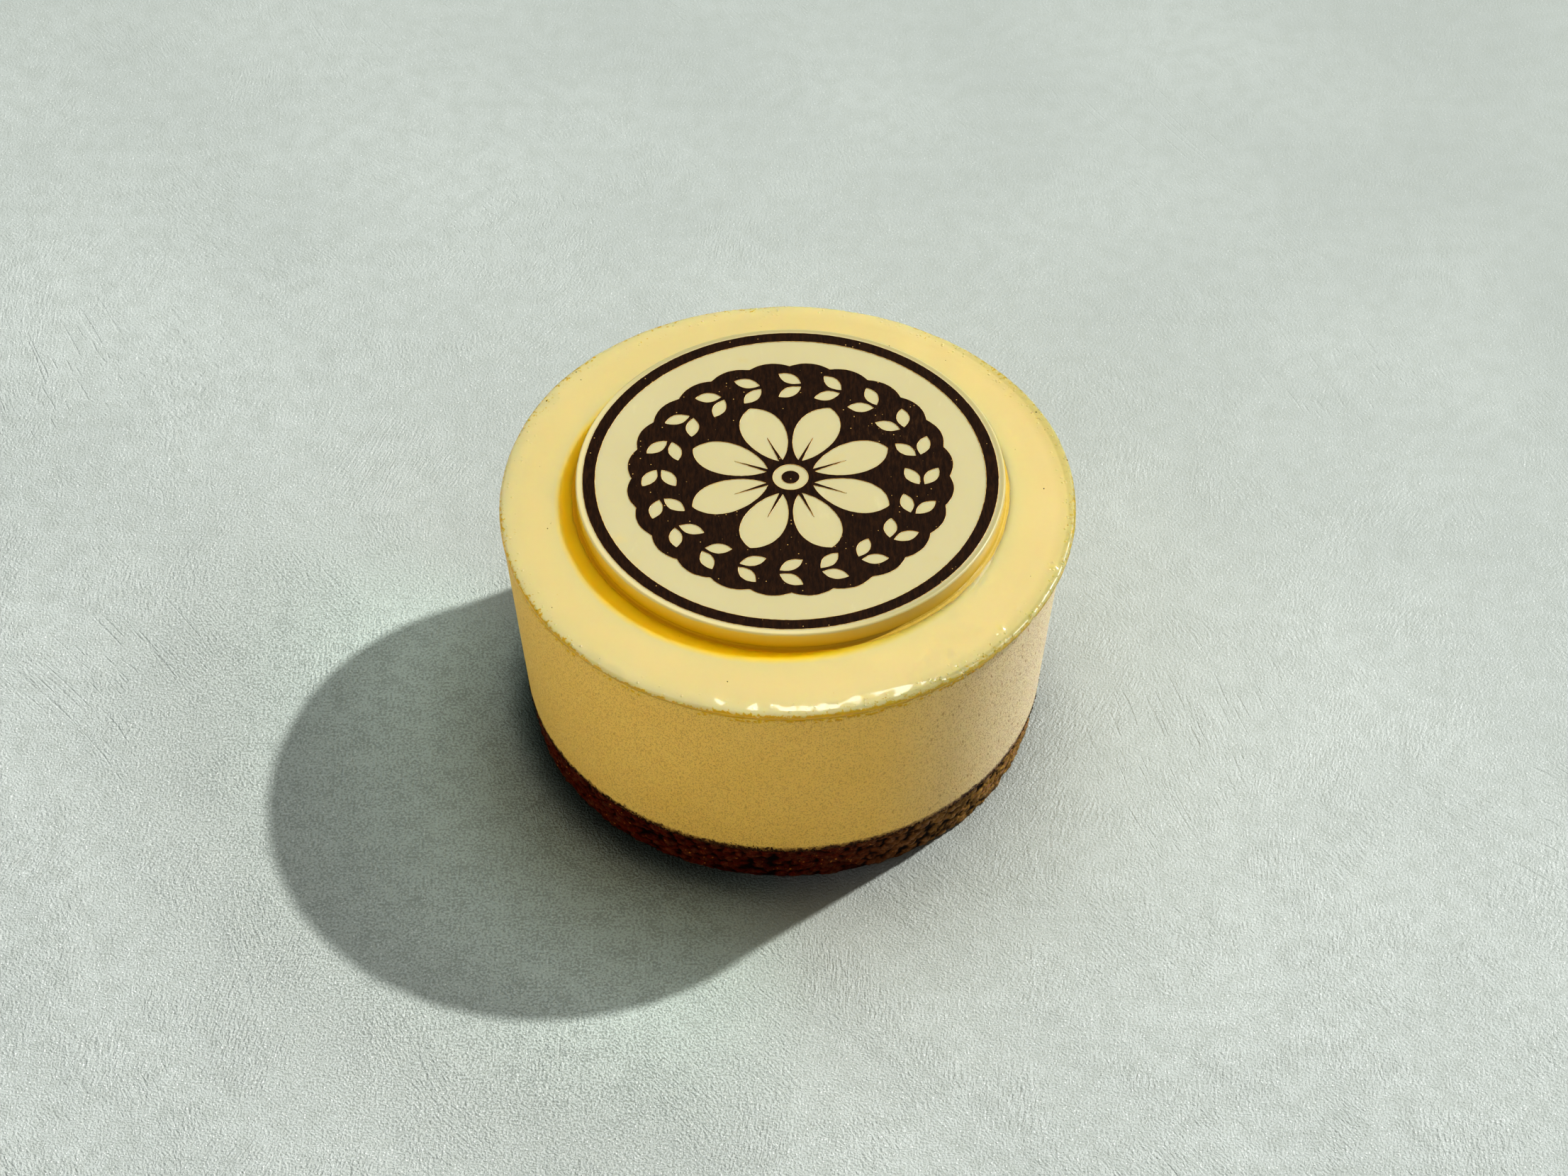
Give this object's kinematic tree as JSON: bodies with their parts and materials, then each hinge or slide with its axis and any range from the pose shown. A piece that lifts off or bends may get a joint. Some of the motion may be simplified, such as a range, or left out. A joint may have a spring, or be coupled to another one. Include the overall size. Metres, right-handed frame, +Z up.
{
  "type": "new york cheesecake",
  "caption": "Individual round cheesecake that widens upwards: crumb base, smooth filling, glossy glaze and a white chocolate plaque with a dark rosette print.",
  "frame": {"origin": "middle of the foot, on the surface the cake stands on", "axes": "+Z up along the cake's axis, -Y towards the viewer of the picture, +X to the viewer's right"},
  "size_m": [0.0806, 0.0805, 0.041],
  "materials": {
    "crumb": "matte",
    "filling": "satin",
    "glaze": "gloss",
    "white_chocolate": "satin",
    "print": "satin"
  },
  "bodies": {
    "root": {"crumb_base": "crumb", "filling": "filling", "glaze": "glaze", "plaque": "white_chocolate", "print_border": "print", "print_medallion": "print", "print_eye": "print"}
  },
  "joints": []
}
